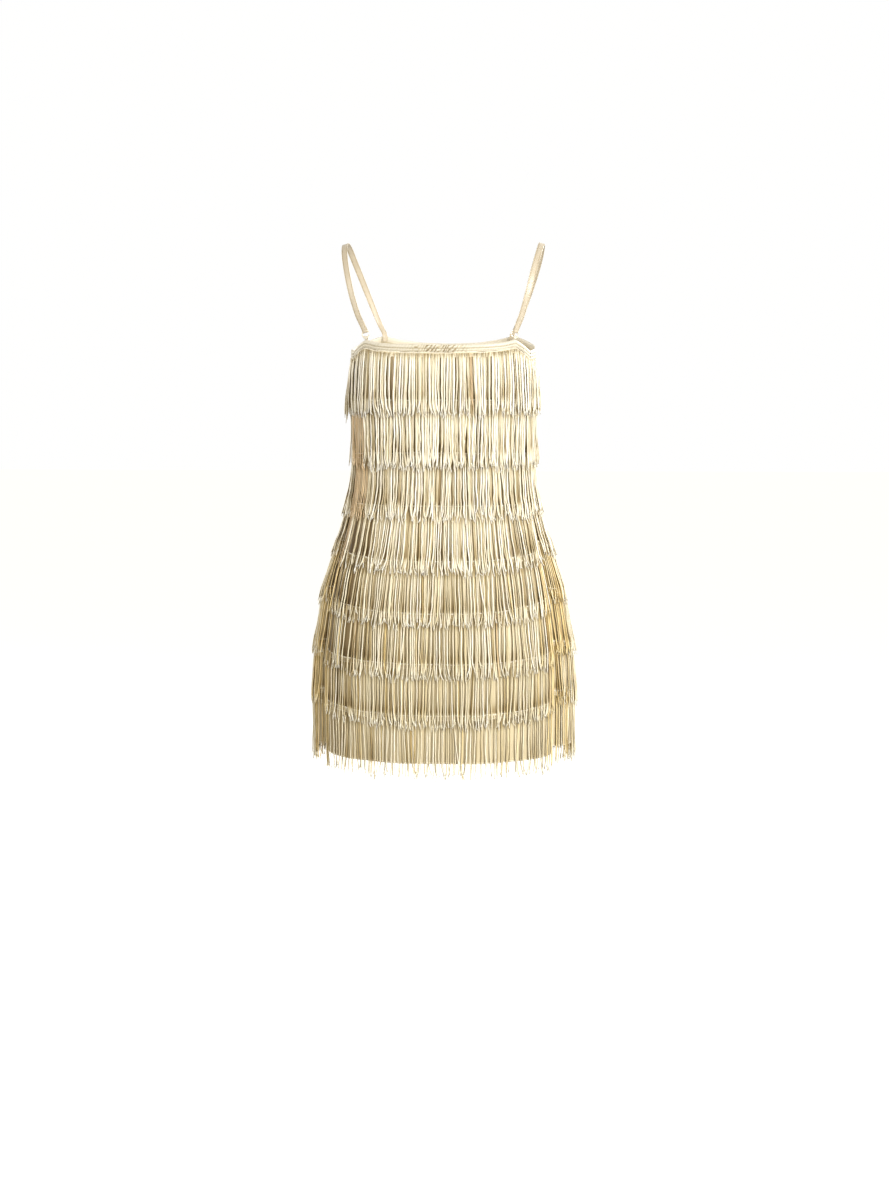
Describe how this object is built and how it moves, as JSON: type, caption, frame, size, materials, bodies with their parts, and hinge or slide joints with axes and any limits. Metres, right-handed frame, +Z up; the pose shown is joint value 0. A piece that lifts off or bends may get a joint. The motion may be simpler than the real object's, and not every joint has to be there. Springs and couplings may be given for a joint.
{
  "type": "fringe dress",
  "caption": "Short sleeveless straight-cut dress on narrow shoulder straps, covered all round in tiers of hanging fringe, in the hollow form it has when worn.",
  "frame": {"origin": "midway between the tops of the two shoulder straps, where the wearer's shoulders hold the dress up", "axes": "+Z up, the wearer faces -Y, +X towards the wearer's left"},
  "size_m": [0.4094, 0.2724, 0.8064],
  "materials": {
    "panel_satin": "satin-faced woven cloth, soft sheen",
    "binding_satin": "satin strip, soft sheen",
    "fringe_yarn": "rayon chainette fringe, silky",
    "strap_satin": "satin ribbon, soft sheen",
    "ring_enamel": "gloss ivory coating"
  },
  "bodies": {
    "root": {"back_panel": "panel_satin", "back_binding": "binding_satin", "fringe_back_1": "fringe_yarn", "fringe_back_2": "fringe_yarn", "fringe_back_3": "fringe_yarn", "fringe_back_4": "fringe_yarn", "fringe_back_5": "fringe_yarn", "fringe_back_6": "fringe_yarn", "fringe_back_7": "fringe_yarn", "fringe_back_8": "fringe_yarn", "front_panel": "panel_satin", "front_binding": "binding_satin", "fringe_front_1": "fringe_yarn", "fringe_front_2": "fringe_yarn", "fringe_front_3": "fringe_yarn", "fringe_front_4": "fringe_yarn", "fringe_front_5": "fringe_yarn", "fringe_front_6": "fringe_yarn", "fringe_front_7": "fringe_yarn", "fringe_front_8": "fringe_yarn", "strap_left": "strap_satin", "strap_ring_left": "ring_enamel", "ring_tab_left": "binding_satin", "strap_right": "strap_satin", "strap_ring_right": "ring_enamel", "ring_tab_right": "binding_satin"}
  },
  "joints": []
}
